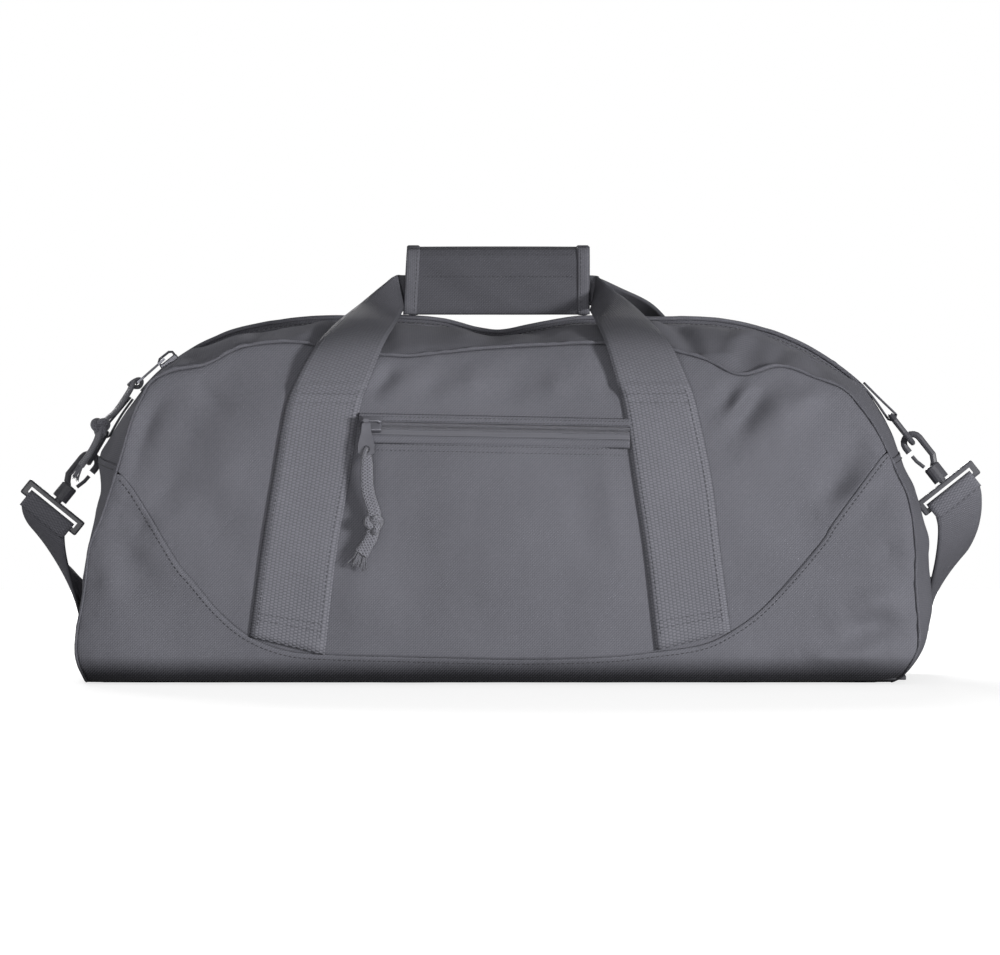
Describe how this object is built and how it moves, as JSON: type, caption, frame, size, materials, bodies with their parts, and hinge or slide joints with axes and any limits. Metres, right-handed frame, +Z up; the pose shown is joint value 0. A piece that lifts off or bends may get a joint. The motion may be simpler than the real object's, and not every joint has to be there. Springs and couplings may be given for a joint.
{
  "type": "duffel bag",
  "caption": "Soft duffel bag with a zipped top, a zipped front pocket, webbing carry handles joined by a padded wrap, and a clip-on shoulder strap.",
  "frame": {"origin": "on the resting surface, under the middle of the bag", "axes": "+X along the bag's length with the closed main zip's slider at -X; +Y towards the back, away from the pocket; +Z up"},
  "size_m": [0.6674, 0.3771, 0.3008],
  "materials": {
    "cloth": "dark grey plain weave",
    "webbing": "dark grey ribbed webbing",
    "plastic": "satin",
    "zip": "woven tape and nylon coil",
    "slider": "dark satin",
    "cord": "braided",
    "board": "matt"
  },
  "bodies": {
    "bag": {"back_handle_strap_left": "webbing", "back_handle_strap_right": "webbing", "back_lower_panel": "cloth", "back_panel": "cloth", "base_board": "board", "bottom_panel": "cloth", "front_handle_strap_left": "webbing", "front_handle_strap_right": "webbing", "front_lower_panel": "cloth", "front_panel": "cloth", "left_end_panel": "cloth", "main_zip_coil": "zip", "main_zip_tape_back": "zip", "main_zip_tape_front": "zip", "mouth_back_panel": "cloth", "mouth_front_panel": "cloth", "pocket_panel": "cloth", "pocket_zip_coil": "zip", "pocket_zip_tape": "zip", "right_end_panel": "cloth", "ring_tab_left": "webbing", "ring_tab_right": "webbing", "shoulder_strap": "webbing", "zip_end_tab_left": "cloth", "zip_end_tab_right": "cloth"},
    "main_slider": {"main_slider": "slider"},
    "main_pull": {"main_pull_tab": "slider"},
    "main_cord": {"main_cord_loop": "cord", "main_cord_knot": "cord", "main_cord_tail_1": "cord", "main_cord_tail_2": "cord"},
    "pocket_slider": {"pocket_slider": "slider"},
    "pocket_pull": {"pocket_pull_tab": "slider"},
    "pocket_cord": {"pocket_cord_loop": "cord", "pocket_cord_knot": "cord", "pocket_cord_tail": "cord"},
    "handles": {"grip_wrap": "cloth", "wrap_loop_strip": "webbing", "front_handle_core": "webbing", "back_handle_core": "webbing"},
    "flap": {"wrap_flap": "cloth", "wrap_hook_strip": "webbing"},
    "clip_left": {"strap_ring_left": "plastic", "strap_bar_left": "plastic", "strap_end_left": "webbing"},
    "hook_left": {"snap_hook_left": "plastic"},
    "gate_left": {"hook_gate_left": "plastic"},
    "clip_right": {"strap_ring_right": "plastic", "strap_bar_right": "plastic", "strap_end_right": "webbing"},
    "hook_right": {"snap_hook_right": "plastic"},
    "gate_right": {"hook_gate_right": "plastic"},
    "adjuster": {"strap_adjuster": "plastic"}
  },
  "joints": [
    {"name": "main_zip_run", "type": "hinge", "parent": "bag", "child": "main_slider", "pos_m": [-0.137, 0, 0.1], "axis": [0, 1, 0], "range_deg": [0, 36]},
    {"name": "main_pull_swing", "type": "hinge", "parent": "main_slider", "child": "main_pull", "pos_m": [-0.23593, 0, 0.22128], "axis": [0, 1, 0], "range_deg": [0, 100]},
    {"name": "main_cord_swing", "type": "hinge", "parent": "main_pull", "child": "main_cord", "pos_m": [-0.25206, 0, 0.20706], "axis": [0, 1, 0], "range_deg": [0, 12]},
    {"name": "pocket_zip_run", "type": "slide", "parent": "bag", "child": "pocket_slider", "axis": [0.9998, 0, -0.0209], "range_m": [0, 0.156]},
    {"name": "pocket_pull_swing", "type": "hinge", "parent": "pocket_slider", "child": "pocket_pull", "pos_m": [-0.09392, -0.13714, 0.18067], "axis": [-1, 0, 0], "range_deg": [0, 100]},
    {"name": "pocket_cord_swing", "type": "hinge", "parent": "pocket_pull", "child": "pocket_cord", "pos_m": [-0.09392, -0.14288, 0.16098], "axis": [-1, 0, 0], "range_deg": [0, 12]},
    {"name": "handle_tilt", "type": "hinge", "parent": "bag", "child": "handles", "pos_m": [0, 0, 0.2495], "axis": [1, 0, 0], "range_deg": [-15, 15], "stiffness_Nm_per_rad": 0.08},
    {"name": "wrap_flap_lift", "type": "hinge", "parent": "handles", "child": "flap", "pos_m": [0, -0.0122, 0.2975], "axis": [-1, 0, 0], "range_deg": [0, 140]},
    {"name": "clip_left_swing", "type": "hinge", "parent": "bag", "child": "clip_left", "pos_m": [-0.27573, 0, 0.17069], "axis": [0, 1, 0], "range_deg": [0, 25]},
    {"name": "hook_left_swivel", "type": "hinge", "parent": "clip_left", "child": "hook_left", "pos_m": [-0.28773, 0, 0.1499], "axis": [-0.6298, 0, -0.7768], "range_deg": [-30, 30]},
    {"name": "gate_left_open", "type": "hinge", "parent": "hook_left", "child": "gate_left", "pos_m": [-0.29612, 0, 0.13289], "axis": [0, -1, 0], "range_deg": [0, 18], "stiffness_Nm_per_rad": 0.02, "springref_deg": -11.46},
    {"name": "clip_right_swing", "type": "hinge", "parent": "bag", "child": "clip_right", "pos_m": [0.26904, 0, 0.18251], "axis": [0, -1, 0], "range_deg": [0, 25]},
    {"name": "hook_right_swivel", "type": "hinge", "parent": "clip_right", "child": "hook_right", "pos_m": [0.28392, 0, 0.16367], "axis": [0.6198, 0, -0.7848], "range_deg": [-30, 30]},
    {"name": "gate_right_open", "type": "hinge", "parent": "hook_right", "child": "gate_right", "pos_m": [0.29209, 0, 0.14655], "axis": [0, 1, 0], "range_deg": [0, 18], "stiffness_Nm_per_rad": 0.02, "springref_deg": -11.46},
    {"name": "adjuster_slide", "type": "slide", "parent": "bag", "child": "adjuster", "axis": [1, 0, 0], "range_m": [-0.03, 0.03]}
  ]
}
